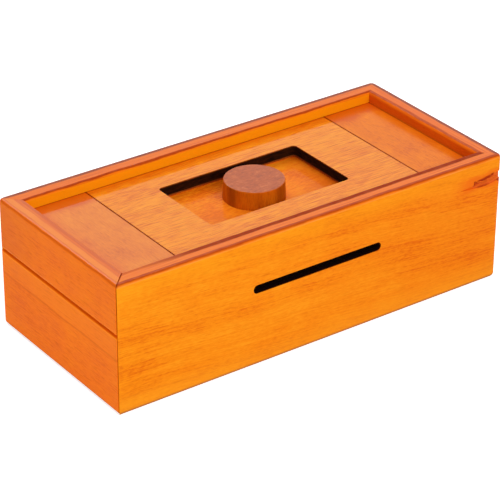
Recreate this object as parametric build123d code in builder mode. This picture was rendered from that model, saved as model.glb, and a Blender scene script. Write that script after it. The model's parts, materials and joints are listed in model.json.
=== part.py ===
from build123d import *
import os

# Puzzle box of mitred boards: a knob slides in a window in the recessed top, a slot
# in the front lets papers fall into a drawer, and a peg under the knob locks that drawer.
# Millimetres, +Z up, X along the box, Y towards its rear, origin under the box's middle.

# Outer box
box_length = 210.0
box_width = 96.0
box_height = 63.5
wall_thickness = 9.2
corner_round = 2.8
edge_round = 1.6
rim_round = 1.6
corner_break = 0.5

# Recessed top boards
recess_depth = 5.2
panel_thickness = 5.5
panel_tongue = 3.0
panel_seam = 0.5
left_panel_width = 30.6
right_panel_width = 27.5
window_round = 2.0

# Knob, which stands in the middle of its window, and the plate that carries it
knob_x = 1.0
knob_y = 1.7
knob_diameter = 28.9
knob_height = 8.9
knob_taper = 0.5
knob_round = 0.5
knob_stop_gap = 0.25
plate_thickness = 3.6
plate_gap = 0.6
plate_cover = 2.0
plate_round = 1.5
plate_end_room = 7.75
plate_side_room = 1.65

# Boards below the knob plate
slide_gap = 0.3
carriage_thickness = 3.6
mid_thickness = 3.3
mid_tongue = 2.5

# Slot in the front and seam across the left end
slot_length = 70.0
slot_height = 4.2
slot_headroom = 0.7
seam_gap = 0.7
seam_round = 2.0
open_mitre = 0.5

# Base and drawer
bottom_thickness = 5.0
bottom_tongue = 3.0
drawer_side_thickness = 5.0
drawer_back_thickness = 6.0
drawer_floor_thickness = 3.0
drawer_side_gap = 0.5
drawer_floor_gap = 0.4
drawer_side_drop = 1.2
drawer_travel = 120.0
face_break = 0.3
ground_gap = 0.5
mitre_gap = 0.4

# Pegs and the notch that lets the locking peg through
peg_diameter = 6.0
peg_inset = 7.0
peg_seat = 2.6
peg_fit = 0.05
peg_gap = 0.5
peg_engagement = 6.5
peg_tip_break = 0.6
notch_depth_gap = 1.0

# Block that stops the drawer
stop_width = 10.0
stop_length = 30.0
stop_gap = 0.25
stop_side_gap = 0.6

# Screw that holds the knob
screw_diameter = 3.0
screw_head_diameter = 6.4
screw_depth_in_knob = 6.0
screw_tip_length = 1.5
screw_fit = 0.1
screw_recess_width = 0.9
screw_recess_length = 3.6
screw_recess_depth = 0.8
countersink_angle = 90

# Torn grain at the right end of the front, where a sliver has come away
chip_length = 26.0
chip_height = 5.6
chip_drop = 7.7
chip_depth = 0.5
chip_shares = [
    (0, 0.23),
    (0.327, 0.375),
    (0.327, 0.66),
    (0.423, 0.607),
    (0.692, 0.643),
    (0.738, 0.875),
    (0.808, 0.93),
    (1, 1),
    (1, 0.2),
    (0.865, 0.16),
    (0.692, 0.055),
    (0.558, 0),
    (0.423, 0.055),
    (0.308, 0.107),
]

# How far a cut runs past the face that it opens
overrun = 1.0

# Plan of the box
half_length = box_length / 2
half_width = box_width / 2
inner_half_length = half_length - wall_thickness
inner_half_width = half_width - wall_thickness

# Heights, from the rim down to the slot and from the ground up to the drawer's floor
panel_top = box_height - recess_depth
panel_bottom = panel_top - panel_thickness
plate_top = panel_bottom - plate_gap
plate_bottom = plate_top - plate_thickness
carriage_top = plate_bottom - slide_gap
carriage_bottom = carriage_top - carriage_thickness
mid_top = carriage_bottom - slide_gap
mid_bottom = mid_top - mid_thickness
slot_top = mid_bottom - slot_headroom
slot_middle = slot_top - slot_height / 2
face_top = slot_middle - seam_gap / 2
upper_end_bottom = slot_middle + seam_gap / 2
drawer_side_top = slot_top - slot_height - drawer_side_drop
drawer_floor_bottom = bottom_thickness + drawer_floor_gap
drawer_floor_top = drawer_floor_bottom + drawer_floor_thickness
peg_bottom = face_top - peg_engagement

# Travel of the knob each way: its plate uses the room between the walls and still covers the window
knob_reach = knob_diameter / 2 + knob_stop_gap
plate_reach = knob_reach + plate_cover
long_travel = (inner_half_length - plate_end_room - plate_reach - knob_x) / 3
cross_travel = (inner_half_width - plate_side_room - plate_reach - knob_y) / 3
window_length = 2 * (knob_reach + long_travel)
window_width = 2 * (knob_reach + cross_travel)
plate_length = 2 * (plate_reach + 2 * long_travel)
plate_width = 2 * (plate_reach + 2 * cross_travel)

# Places along the box
left_seam_x = left_panel_width - inner_half_length
right_seam_x = inner_half_length - right_panel_width
peg_spacing = plate_length / 2 - peg_inset
lock_peg_x = knob_x + peg_spacing
guide_peg_x = knob_x - peg_spacing
peg_room = peg_diameter / 2 + peg_gap
drawer_back_front = lock_peg_x + long_travel + peg_room
drawer_end = drawer_back_front + drawer_back_thickness
drawer_half_width = inner_half_width - drawer_side_gap
stop_right = drawer_back_front - drawer_travel - stop_gap

# Each wall has a plane on its outer face: X along the wall, Y into the box, Z up
front_side = Plane(origin=(0, -half_width, 0), x_dir=(1, 0, 0), z_dir=(0, 0, 1))
rear_side = Plane(origin=(0, half_width, 0), x_dir=(-1, 0, 0), z_dir=(0, 0, 1))
right_side = Plane(origin=(half_length, 0, 0), x_dir=(0, 1, 0), z_dir=(0, 0, 1))
left_side = Plane(origin=(-half_length, 0, 0), x_dir=(0, -1, 0), z_dir=(0, 0, 1))
front_face = Plane.XZ.offset(half_width)


def section_plane(side):
    """Plane across a wall at its middle: X into the box, Y up."""
    return Plane(origin=side.origin, x_dir=side.y_dir, z_dir=side.x_dir)


def draw_wall_section(sketch, bottom):
    """Draw a wall's section with the inner edge of its rim rounded."""
    Polygon((0, bottom), (wall_thickness, bottom), (wall_thickness, box_height), (0, box_height))
    fillet(sketch.vertices().group_by(Axis.X)[-1].sort_by(Axis.Y)[-1], rim_round)


def mitred_plan(length):
    """Corners of a mitred board seen from above, its sharp tips broken by a small flat."""
    half = length / 2
    tip = corner_break / 2
    return [
        (corner_break - half, 0),
        (half - corner_break, 0),
        (half - tip, tip),
        (half - wall_thickness, wall_thickness),
        (wall_thickness - half, wall_thickness),
        (tip - half, tip),
    ]


def draw_let_in_board(tongue):
    """Draw a board that fills the inside of the box and reaches into grooves in its walls."""
    Rectangle(2 * (inner_half_length + tongue), 2 * (inner_half_width + tongue))


def draw_bottom_board():
    """Draw the base, let into three walls and stopping short of the drawer's face."""
    with Locations(((bottom_tongue + mitre_gap) / 2, 0)):
        Rectangle(2 * inner_half_length + bottom_tongue - mitre_gap, 2 * (inner_half_width + bottom_tongue))


def draw_chip():
    """Draw the torn sliver, which runs out through the front's right end."""
    left = half_length + overrun - chip_length
    low = box_height - chip_drop - chip_height
    Polygon(*[(left + chip_length * along, low + chip_height * up) for along, up in chip_shares])


# Outer form that trims the walls: three upright corners and all outer edges are rounded,
# while the corner in front of the drawer stays square
with BuildPart() as outer_form:
    with BuildSketch(Plane.XY) as outline:
        Rectangle(box_length, box_width)
        fillet(outline.vertices().sort_by_distance((-half_length, -half_width))[1:], corner_round)
    extrude(amount=box_height)
    fillet(outer_form.edges().group_by(Axis.Z)[0], edge_round)
    fillet(outer_form.edges().group_by(Axis.Z)[-1], edge_round)

# The lost sliver: a skin of the outer form that bends around the corner to the right end
with BuildPart() as lost_sliver:
    with BuildSketch(front_face.offset(overrun)):
        draw_chip()
    extrude(amount=-(overrun + corner_round))
    with BuildSketch(Plane.XY):
        RectangleRounded(box_length - 2 * chip_depth, box_width - 2 * chip_depth, corner_round - chip_depth)
    extrude(amount=box_height, mode=Mode.SUBTRACT)

# Front wall with the slot, grooves for the boards inside and a torn sliver
with BuildPart() as front_wall:
    with BuildSketch(section_plane(front_side)) as front_section:
        draw_wall_section(front_section, 0)
    extrude(amount=half_length, both=True)
    with BuildSketch(front_side):
        Polygon(*mitred_plan(box_length))
    extrude(amount=box_height, mode=Mode.INTERSECT)
    add(outer_form.part, mode=Mode.INTERSECT)
    with BuildSketch(Plane.XY.offset(panel_bottom)):
        draw_let_in_board(panel_tongue)
    extrude(amount=panel_thickness, mode=Mode.SUBTRACT)
    with BuildSketch(Plane.XY.offset(mid_bottom)):
        draw_let_in_board(mid_tongue)
    extrude(amount=mid_thickness, mode=Mode.SUBTRACT)
    with BuildSketch(Plane.XY):
        draw_bottom_board()
    extrude(amount=bottom_thickness, mode=Mode.SUBTRACT)
    with BuildSketch(front_face.offset(overrun)):
        with Locations((0, slot_middle)):
            SlotOverall(slot_length, slot_height)
    extrude(amount=-(wall_thickness + 2 * overrun), mode=Mode.SUBTRACT)
    add(lost_sliver.part, mode=Mode.SUBTRACT)
front_wall.part.label = "front_wall"

# Rear wall
with BuildPart() as rear_wall:
    with BuildSketch(section_plane(rear_side)) as rear_section:
        draw_wall_section(rear_section, 0)
    extrude(amount=half_length, both=True)
    with BuildSketch(rear_side):
        Polygon(*mitred_plan(box_length))
    extrude(amount=box_height, mode=Mode.INTERSECT)
    add(outer_form.part, mode=Mode.INTERSECT)
    with BuildSketch(Plane.XY.offset(panel_bottom)):
        draw_let_in_board(panel_tongue)
    extrude(amount=panel_thickness, mode=Mode.SUBTRACT)
    with BuildSketch(Plane.XY.offset(mid_bottom)):
        draw_let_in_board(mid_tongue)
    extrude(amount=mid_thickness, mode=Mode.SUBTRACT)
    with BuildSketch(Plane.XY):
        draw_bottom_board()
    extrude(amount=bottom_thickness, mode=Mode.SUBTRACT)
rear_wall.part.label = "rear_wall"

# Right end wall, where the torn sliver runs out
with BuildPart() as right_end_wall:
    with BuildSketch(section_plane(right_side)) as right_section:
        draw_wall_section(right_section, 0)
    extrude(amount=half_width, both=True)
    with BuildSketch(right_side):
        Polygon(*mitred_plan(box_width))
    extrude(amount=box_height, mode=Mode.INTERSECT)
    add(outer_form.part, mode=Mode.INTERSECT)
    with BuildSketch(Plane.XY.offset(panel_bottom)):
        draw_let_in_board(panel_tongue)
    extrude(amount=panel_thickness, mode=Mode.SUBTRACT)
    with BuildSketch(Plane.XY.offset(mid_bottom)):
        draw_let_in_board(mid_tongue)
    extrude(amount=mid_thickness, mode=Mode.SUBTRACT)
    with BuildSketch(Plane.XY):
        draw_bottom_board()
    extrude(amount=bottom_thickness, mode=Mode.SUBTRACT)
    add(lost_sliver.part, mode=Mode.SUBTRACT)
right_end_wall.part.label = "right_end_wall"

# Upper board of the left end, rounded over along the seam, its front mitre a little open
with BuildPart() as left_end_upper:
    with BuildSketch(section_plane(left_side)) as left_section:
        draw_wall_section(left_section, upper_end_bottom)
        fillet(left_section.vertices().group_by(Axis.X)[0].sort_by(Axis.Y)[0], seam_round)
    extrude(amount=half_width, both=True)
    with BuildSketch(left_side):
        with Locations((-open_mitre / 2, 0)):
            Polygon(*mitred_plan(box_width - open_mitre))
    extrude(amount=box_height, mode=Mode.INTERSECT)
    add(outer_form.part, mode=Mode.INTERSECT)
    with BuildSketch(Plane.XY.offset(panel_bottom)):
        draw_let_in_board(panel_tongue)
    extrude(amount=panel_thickness, mode=Mode.SUBTRACT)
    with BuildSketch(Plane.XY.offset(mid_bottom)):
        draw_let_in_board(mid_tongue)
    extrude(amount=mid_thickness, mode=Mode.SUBTRACT)
left_end_upper.part.label = "left_end_upper"

# Base, let into the three full-height walls
with BuildPart() as bottom_board:
    with BuildSketch(Plane.XY):
        draw_bottom_board()
    extrude(amount=bottom_thickness)
bottom_board.part.label = "bottom_board"

# Mid board: ceiling of the drawer space, open where the locking peg sweeps
with BuildPart() as mid_board:
    with BuildSketch(Plane.XY.offset(mid_bottom)):
        draw_let_in_board(mid_tongue)
        with Locations((lock_peg_x, knob_y)):
            RectangleRounded(
                2 * (long_travel + peg_room), 2 * (cross_travel + peg_room), peg_diameter / 2, mode=Mode.SUBTRACT
            )
    extrude(amount=mid_thickness)
mid_board.part.label = "mid_board"

# Block under the mid board that the drawer's back meets at full travel
with BuildPart() as drawer_stop:
    with BuildSketch(Plane.XY.offset(drawer_side_top + stop_side_gap)):
        with Locations((stop_right - stop_width / 2, 0)):
            Rectangle(stop_width, stop_length)
    extrude(amount=mid_bottom - drawer_side_top - stop_side_gap)
drawer_stop.part.label = "drawer_stop"

# Left top board
with BuildPart() as top_panel_left:
    with BuildSketch(Plane.XY.offset(panel_bottom)):
        with Locations((-inner_half_length - panel_tongue, 0)):
            Rectangle(
                left_panel_width + panel_tongue - panel_seam / 2,
                2 * (inner_half_width + panel_tongue),
                align=(Align.MIN, Align.CENTER),
            )
    extrude(amount=panel_thickness)
top_panel_left.part.label = "top_panel_left"

# Right top board
with BuildPart() as top_panel_right:
    with BuildSketch(Plane.XY.offset(panel_bottom)):
        with Locations((inner_half_length + panel_tongue, 0)):
            Rectangle(
                right_panel_width + panel_tongue - panel_seam / 2,
                2 * (inner_half_width + panel_tongue),
                align=(Align.MAX, Align.CENTER),
            )
    extrude(amount=panel_thickness)
top_panel_right.part.label = "top_panel_right"

# Middle top board with the window
with BuildPart() as top_panel_centre:
    with BuildSketch(Plane.XY.offset(panel_bottom)):
        with Locations(((left_seam_x + right_seam_x) / 2, 0)):
            Rectangle(right_seam_x - left_seam_x - panel_seam, 2 * (inner_half_width + panel_tongue))
        with Locations((knob_x, knob_y)):
            RectangleRounded(window_length, window_width, window_round, mode=Mode.SUBTRACT)
    extrude(amount=panel_thickness)
top_panel_centre.part.label = "top_panel_centre"

# Carriage: slides lengthways between the walls and guides both pegs crossways
with BuildPart() as carriage:
    with BuildSketch(Plane.XY.offset(carriage_bottom)):
        with Locations((knob_x, 0)):
            Rectangle(plate_length, 2 * (inner_half_width - slide_gap))
        with Locations((guide_peg_x, knob_y), (lock_peg_x, knob_y)):
            SlotOverall(
                2 * (cross_travel + peg_room),
                peg_diameter + 2 * slide_gap,
                rotation=90,
                mode=Mode.SUBTRACT,
            )
    extrude(amount=carriage_thickness)
carriage.part.label = "carriage"

# Knob plate: fills the window at every place of the knob, with blind holes for the pegs
with BuildPart() as knob_plate:
    with BuildSketch(Plane.XY.offset(plate_bottom)):
        with Locations((knob_x, knob_y)):
            RectangleRounded(plate_length, plate_width, plate_round)
    extrude(amount=plate_thickness)
    underside = Plane(origin=(knob_x, knob_y, plate_bottom), x_dir=(1, 0, 0), z_dir=(0, 0, -1))
    with Locations(underside):
        CounterSinkHole(
            screw_diameter / 2 + screw_fit,
            screw_head_diameter / 2 + screw_fit,
            counter_sink_angle=countersink_angle,
        )
        with Locations((-peg_spacing, 0), (peg_spacing, 0)):
            Hole(peg_diameter / 2 + peg_fit, depth=peg_seat)
knob_plate.part.label = "knob_plate"

# Turned knob, a little narrower at its top, with a blind hole for its screw
with BuildPart() as knob:
    with BuildSketch(Plane.XY.offset(plate_top)):
        with Locations((knob_x, knob_y)):
            Circle(knob_diameter / 2)
    with BuildSketch(Plane.XY.offset(plate_top + knob_height)):
        with Locations((knob_x, knob_y)):
            Circle(knob_diameter / 2 - knob_taper)
    loft()
    fillet(knob.edges().group_by(Axis.Z)[-1], knob_round)
    with Locations(Plane(origin=(knob_x, knob_y, plate_top), x_dir=(1, 0, 0), z_dir=(0, 0, -1))):
        Hole(screw_diameter / 2 + screw_fit, depth=screw_depth_in_knob + screw_fit)
knob.part.label = "knob"

# Countersunk screw, driven up through the plate into the knob
with BuildPart() as knob_screw:
    with BuildSketch(Plane(origin=(knob_x, knob_y, 0), x_dir=(1, 0, 0), z_dir=(0, -1, 0))):
        with BuildLine():
            Polyline(
                (0, plate_bottom),
                (screw_head_diameter / 2, plate_bottom),
                (screw_diameter / 2, plate_bottom + (screw_head_diameter - screw_diameter) / 2),
                (screw_diameter / 2, plate_top + screw_depth_in_knob - screw_tip_length),
                (0, plate_top + screw_depth_in_knob),
                close=True,
            )
        make_face()
    revolve(axis=Axis((knob_x, knob_y, 0), (0, 0, 1)))
    with BuildSketch(Plane.XY.offset(plate_bottom)):
        with Locations((knob_x, knob_y)):
            Rectangle(screw_recess_length, screw_recess_width)
            Rectangle(screw_recess_width, screw_recess_length)
    extrude(amount=screw_recess_depth, mode=Mode.SUBTRACT)
knob_screw.part.label = "knob_screw"

# Locking peg: a dowel from the plate down into the drawer space
with BuildPart() as lock_peg:
    with BuildSketch(Plane.XY.offset(peg_bottom)):
        with Locations((lock_peg_x, knob_y)):
            Circle(peg_diameter / 2)
    extrude(amount=plate_bottom + peg_seat - peg_bottom)
    chamfer(lock_peg.edges().group_by(Axis.Z)[0], peg_tip_break)
lock_peg.part.label = "lock_peg"

# Guide peg: a short dowel that ends inside the carriage
with BuildPart() as guide_peg:
    with BuildSketch(Plane.XY.offset(carriage_bottom + slide_gap)):
        with Locations((guide_peg_x, knob_y)):
            Circle(peg_diameter / 2)
    extrude(amount=plate_bottom + peg_seat - carriage_bottom - slide_gap)
    chamfer(guide_peg.edges().group_by(Axis.Z)[0], peg_tip_break)
guide_peg.part.label = "guide_peg"

# Drawer face: the lower board of the left end, mitred to clear the walls
with BuildPart() as drawer_face:
    with BuildSketch(section_plane(left_side)) as face_section:
        Polygon((0, ground_gap), (wall_thickness, ground_gap), (wall_thickness, face_top), (0, face_top))
        fillet(face_section.vertices().group_by(Axis.X)[0].sort_by(Axis.Y)[-1], face_break)
    extrude(amount=half_width, both=True)
    with BuildSketch(left_side):
        Polygon(*mitred_plan(box_width - 2 * mitre_gap))
    extrude(amount=box_height, mode=Mode.INTERSECT)
    add(outer_form.part.moved(Location((0, 0, ground_gap))), mode=Mode.INTERSECT)
drawer_face.part.label = "drawer_face"

# Drawer floor, glued under the drawer's sides and back
with BuildPart() as drawer_floor:
    with BuildSketch(Plane.XY.offset(drawer_floor_bottom)):
        with Locations((-inner_half_length, 0)):
            Rectangle(inner_half_length + drawer_end, 2 * drawer_half_width, align=(Align.MIN, Align.CENTER))
    extrude(amount=drawer_floor_thickness)
drawer_floor.part.label = "drawer_floor"

# Drawer sides, lower than the slot so that papers fall in over the front one
with BuildPart() as drawer_side_front:
    with BuildSketch(Plane.XY.offset(drawer_floor_top)):
        with Locations((-inner_half_length, -drawer_half_width)):
            Rectangle(inner_half_length + drawer_end, drawer_side_thickness, align=(Align.MIN, Align.MIN))
    extrude(amount=drawer_side_top - drawer_floor_top)
drawer_side_front.part.label = "drawer_side_front"

with BuildPart() as drawer_side_rear:
    with BuildSketch(Plane.XY.offset(drawer_floor_top)):
        with Locations((-inner_half_length, drawer_half_width)):
            Rectangle(inner_half_length + drawer_end, drawer_side_thickness, align=(Align.MIN, Align.MAX))
    extrude(amount=drawer_side_top - drawer_floor_top)
drawer_side_rear.part.label = "drawer_side_rear"

# Drawer back, notched where the locking peg stands with the knob in the middle
with BuildPart() as drawer_back:
    with BuildSketch(Plane.YZ.offset(drawer_back_front)):
        with Locations((0, drawer_floor_top)):
            Rectangle(
                2 * (drawer_half_width - drawer_side_thickness),
                face_top - drawer_floor_top,
                align=(Align.CENTER, Align.MIN),
            )
        with Locations((knob_y, peg_bottom - notch_depth_gap)):
            Rectangle(
                2 * peg_room,
                peg_engagement + notch_depth_gap + overrun,
                align=(Align.CENTER, Align.MIN),
                mode=Mode.SUBTRACT,
            )
    extrude(amount=drawer_back_thickness)
drawer_back.part.label = "drawer_back"

# Each board is written to its own file
pieces = [
    front_wall,
    rear_wall,
    right_end_wall,
    left_end_upper,
    bottom_board,
    mid_board,
    drawer_stop,
    top_panel_left,
    top_panel_centre,
    top_panel_right,
    carriage,
    knob_plate,
    knob,
    knob_screw,
    lock_peg,
    guide_peg,
    drawer_face,
    drawer_floor,
    drawer_side_front,
    drawer_side_rear,
    drawer_back,
]
os.makedirs("parts", exist_ok=True)
for piece in pieces:
    export_step(piece.part, f"parts/{piece.part.label}.step")

print(f"knob travel each way: lengthways {long_travel:.3f}, crossways {cross_travel:.3f}")
print(f"window: {window_length:.2f} by {window_width:.2f}, plate: {plate_length:.2f} by {plate_width:.2f}")
print(f"lock peg x {lock_peg_x:.2f}, drawer back from {drawer_back_front:.2f} to {drawer_end:.2f}")
print(f"slot middle {slot_middle:.2f}, drawer face top {face_top:.2f}, drawer side top {drawer_side_top:.2f}")
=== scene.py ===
"""Finishes, torn fibres and a white studio for a puzzle box of orange-stained boards."""

import json
import logging
import math
from dataclasses import dataclass
from enum import Enum
from typing import Any, Mapping, Protocol, Sequence, Union

import bpy
from mathutils import Color, Matrix, Vector


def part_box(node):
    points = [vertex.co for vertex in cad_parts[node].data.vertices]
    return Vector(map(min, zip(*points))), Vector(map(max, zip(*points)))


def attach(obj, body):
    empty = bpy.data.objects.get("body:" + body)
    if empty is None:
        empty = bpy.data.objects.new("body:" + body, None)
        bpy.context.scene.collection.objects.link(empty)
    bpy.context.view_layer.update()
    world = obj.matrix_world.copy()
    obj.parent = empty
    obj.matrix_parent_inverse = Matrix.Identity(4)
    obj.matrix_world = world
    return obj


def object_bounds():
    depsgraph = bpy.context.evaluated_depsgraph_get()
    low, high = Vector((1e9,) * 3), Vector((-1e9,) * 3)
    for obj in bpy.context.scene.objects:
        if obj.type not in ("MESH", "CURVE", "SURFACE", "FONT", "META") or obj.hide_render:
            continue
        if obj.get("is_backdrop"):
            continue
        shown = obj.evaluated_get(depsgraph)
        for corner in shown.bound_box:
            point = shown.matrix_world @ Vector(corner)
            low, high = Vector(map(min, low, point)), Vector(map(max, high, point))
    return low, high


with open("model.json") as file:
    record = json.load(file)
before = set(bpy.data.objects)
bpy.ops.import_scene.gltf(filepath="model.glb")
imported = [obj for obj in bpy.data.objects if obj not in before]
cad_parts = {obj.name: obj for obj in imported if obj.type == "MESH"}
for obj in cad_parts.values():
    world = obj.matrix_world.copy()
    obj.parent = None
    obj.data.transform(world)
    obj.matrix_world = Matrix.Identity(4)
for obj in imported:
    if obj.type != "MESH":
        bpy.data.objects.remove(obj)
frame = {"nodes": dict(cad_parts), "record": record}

log = logging.getLogger("puzzle_box")

Pair = tuple[float, float]
Triple = tuple[float, float, float]

MM_PER_M = 1000.0
WHITE = (1.0, 1.0, 1.0, 1.0)
CHANNEL_FULL = 255.0

# Raw noise lies mostly in its span, which is spread over 0 to 1, with its middle at a half. A board's seed is
# spread over the three axes.
NOISE_SPAN = (0.28, 0.72)
MIDDLE = 0.5
SEED_SPREAD = (1.0, 0.7, 1.3)


@dataclass(frozen=True)
class Tint:
    """A colour as it is seen, with red, green and blue from 0 to 255."""

    red: float
    green: float
    blue: float

    @property
    def linear(self) -> tuple[float, float, float, float]:
        """The colour in linear light, with full alpha."""
        seen = Color([part / CHANNEL_FULL for part in (self.red, self.green, self.blue)])
        return (*seen.from_srgb_to_scene_linear(), 1.0)


@dataclass(frozen=True)
class Tones:
    """The four colours that a board's grain runs through."""

    light: Tint
    middle: Tint
    dark: Tint
    pore: Tint


LONG_WALL_TONES = Tones(Tint(255, 158, 26), Tint(249, 140, 14), Tint(232, 106, 6), Tint(208, 84, 4))
END_WALL_TONES = Tones(Tint(252, 136, 28), Tint(244, 118, 18), Tint(226, 94, 10), Tint(200, 76, 8))
PLAIN_TONES = Tones(Tint(232, 200, 152), Tint(218, 180, 130), Tint(190, 146, 96), Tint(164, 118, 74))
CENTRE_PANEL_TONES = Tones(Tint(255, 160, 20), Tint(250, 143, 10), Tint(226, 108, 4), Tint(196, 76, 2))
LEFT_PANEL_TONES = Tones(Tint(246, 142, 30), Tint(236, 126, 20), Tint(216, 102, 10), Tint(186, 74, 6))
RIGHT_PANEL_TONES = Tones(Tint(250, 140, 10), Tint(239, 123, 5), Tint(214, 94, 2), Tint(186, 70, 2))
PLATE_TONES = Tones(Tint(255, 150, 26), Tint(252, 128, 12), Tint(230, 98, 6), Tint(204, 74, 4))
KNOB_TONES = Tones(Tint(228, 120, 14), Tint(212, 100, 6), Tint(178, 72, 4), Tint(128, 46, 4))
TORN_TONES = Tones(Tint(240, 122, 40), Tint(230, 104, 26), Tint(204, 76, 12), Tint(150, 40, 4))

RIM_STAIN = Tint(242, 110, 4)
LEFT_RIM_STAIN = Tint(230, 104, 10)
RIM_STREAK = Tint(198, 74, 8)
RIM_PALE = Tint(252, 142, 36)
RIM_BROWN = Tint(172, 58, 12)
RIM_EDGE = Tint(140, 52, 16)
RIM_DARK = Tint(142, 44, 8)
LEFT_RIM_LINE = Tint(200, 82, 14)


class Layer(Enum):
    """How a tint meets the colour below it: over it, or deepening it and keeping its grain."""

    COVER = "MIX"
    DEEPEN = "MULTIPLY"


class Socket:
    """A shader value that takes Python's operators, each of which adds a Math node."""

    def __init__(self, graph: "Graph", port: bpy.types.NodeSocket) -> None:
        """Wrap a node's output."""
        self.graph = graph
        self.port = port

    def __add__(self, other: "Operand") -> "Socket":
        """Add a value."""
        return self.graph.math("ADD", self, other)

    def __radd__(self, other: "Operand") -> "Socket":
        """Add to a value."""
        return self.graph.math("ADD", other, self)

    def __sub__(self, other: "Operand") -> "Socket":
        """Subtract a value."""
        return self.graph.math("SUBTRACT", self, other)

    def __rsub__(self, other: "Operand") -> "Socket":
        """Subtract from a value."""
        return self.graph.math("SUBTRACT", other, self)

    def __mul__(self, other: "Operand") -> "Socket":
        """Multiply by a value."""
        return self.graph.math("MULTIPLY", self, other)

    def __rmul__(self, other: "Operand") -> "Socket":
        """Multiply a value."""
        return self.graph.math("MULTIPLY", other, self)

    def __truediv__(self, other: "Operand") -> "Socket":
        """Divide by a value."""
        return self.graph.math("DIVIDE", self, other)

    def __neg__(self) -> "Socket":
        """Change the sign."""
        return self.graph.math("MULTIPLY", self, -1.0)

    def __abs__(self) -> "Socket":
        """Drop the sign."""
        return self.graph.math("ABSOLUTE", self)

    def larger(self, other: "Operand") -> "Socket":
        """The larger of two values."""
        return self.graph.math("MAXIMUM", self, other)

    def ease(self, start: float, end: float) -> "Socket":
        """Rise smoothly from 0 at start to 1 at end, or fall where start is the larger.

        Args:
            start: Value that gives 0.
            end: Value that gives 1.

        Returns:
            A value from 0 to 1.
        """
        low, high = min(start, end), max(start, end)
        rise = {"To Min": 0.0, "To Max": 1.0} if start < end else {"To Min": 1.0, "To Max": 0.0}
        settings = {"interpolation_type": "SMOOTHSTEP", "clamp": True}
        inputs = {"Value": self, "From Min": low, "From Max": high, **rise}
        return self.graph.output("ShaderNodeMapRange", settings, inputs)

    def near(self, centre: float, half_width: float, core: float = 0.0) -> "Socket":
        """A soft band around centre: 1 over the core share of its half width, 0 beyond it."""
        return abs(self - centre).ease(half_width, half_width * core)

    def within(self, centre: float, reach: float, fringe: Pair) -> "Socket":
        """1 as far as reach from centre, with an edge that fades between the fringe's distances past it."""
        return abs(self - centre).ease(reach + fringe[0], reach + fringe[1])


Operand = Union[Socket, float, Sequence[float]]


@dataclass(frozen=True)
class Cloud:
    """Soft noise: its features per millimetre each way, where it starts, and how fine and rough it is."""

    scale: Triple
    shift: Triple
    detail: float = 2.0
    roughness: float = 0.5


def even(scale: float) -> Triple:
    """The same scale each way."""
    return (scale, scale, scale)


class Graph:
    """The node tree of one material or of the world."""

    def __init__(self, tree: bpy.types.NodeTree) -> None:
        """Empty a node tree and keep it."""
        self.tree = tree
        self.tree.nodes.clear()

    def node(
        self, kind: str, settings: Mapping[str, Any], inputs: Mapping[Union[str, int], Operand]
    ) -> bpy.types.Node:
        """Add a node, set it up, then fill or link its sockets.

        Args:
            kind: Blender's name for the node's type.
            settings: The node's own properties, such as a Math node's operation.
            inputs: A number, a colour or a Socket for each named or numbered input.

        Returns:
            The new node.
        """
        made = self.tree.nodes.new(kind)
        for key, value in settings.items():
            setattr(made, key, value)
        for key, value in inputs.items():
            if isinstance(value, Socket):
                self.tree.links.new(value.port, made.inputs[key])
            else:
                made.inputs[key].default_value = value
        return made

    def output(
        self,
        kind: str,
        settings: Mapping[str, Any],
        inputs: Mapping[Union[str, int], Operand],
        port: Union[str, int] = 0,
    ) -> Socket:
        """Add a node and wrap the output that port names or numbers."""
        return Socket(self, self.node(kind, settings, inputs).outputs[port])

    def math(self, operation: str, *operands: Operand) -> Socket:
        """Add a Math node for one or two values."""
        return self.output("ShaderNodeMath", {"operation": operation}, dict(enumerate(operands)))

    def stretch(self, vector: Socket, factors: Operand, shift: Operand) -> Socket:
        """Multiply a vector part by part, then shift it."""
        inputs = {0: vector, 1: factors, 2: shift}
        return self.output("ShaderNodeVectorMath", {"operation": "MULTIPLY_ADD"}, inputs)

    def blend(self, factor: Operand, under: Operand, over: Operand, layer: Layer = Layer.COVER) -> Socket:
        """Lay one colour over another, as far as the factor from 0 to 1 says."""
        settings = {"data_type": "RGBA", "blend_type": layer.value, "clamp_factor": True}
        return self.output("ShaderNodeMix", settings, {0: factor, 6: under, 7: over}, port=2)

    def noise(self, point: Socket, cloud: Cloud) -> Socket:
        """Add soft noise.

        Args:
            point: Where it is read, in millimetres.
            cloud: Its scale, start and detail.

        Returns:
            A value from 0 to 1.
        """
        vector = self.stretch(point, cloud.scale, cloud.shift)
        inputs = {"Vector": vector, "Scale": 1.0, "Detail": cloud.detail, "Roughness": cloud.roughness}
        raw = self.output("ShaderNodeTexNoise", {"noise_dimensions": "3D"}, inputs)
        low, high = NOISE_SPAN
        spread = {"Value": raw, "From Min": low, "From Max": high, "To Min": 0.0, "To Max": 1.0}
        return self.output("ShaderNodeMapRange", {"clamp": True}, spread)

    def bump(self, height: Socket, strength: float, distance: float) -> Socket:
        """Turn a height into the direction of a surface in relief."""
        inputs = {"Strength": strength, "Distance": distance, "Height": height}
        return self.output("ShaderNodeBump", {}, inputs, port="Normal")


def start_material(name: str) -> tuple[bpy.types.Material, Graph]:
    """Make a material with an empty graph.

    Args:
        name: The material's name.

    Returns:
        The material and its graph.
    """
    material = bpy.data.materials.new(name)
    material.use_nodes = True
    return material, Graph(material.node_tree)


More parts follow.
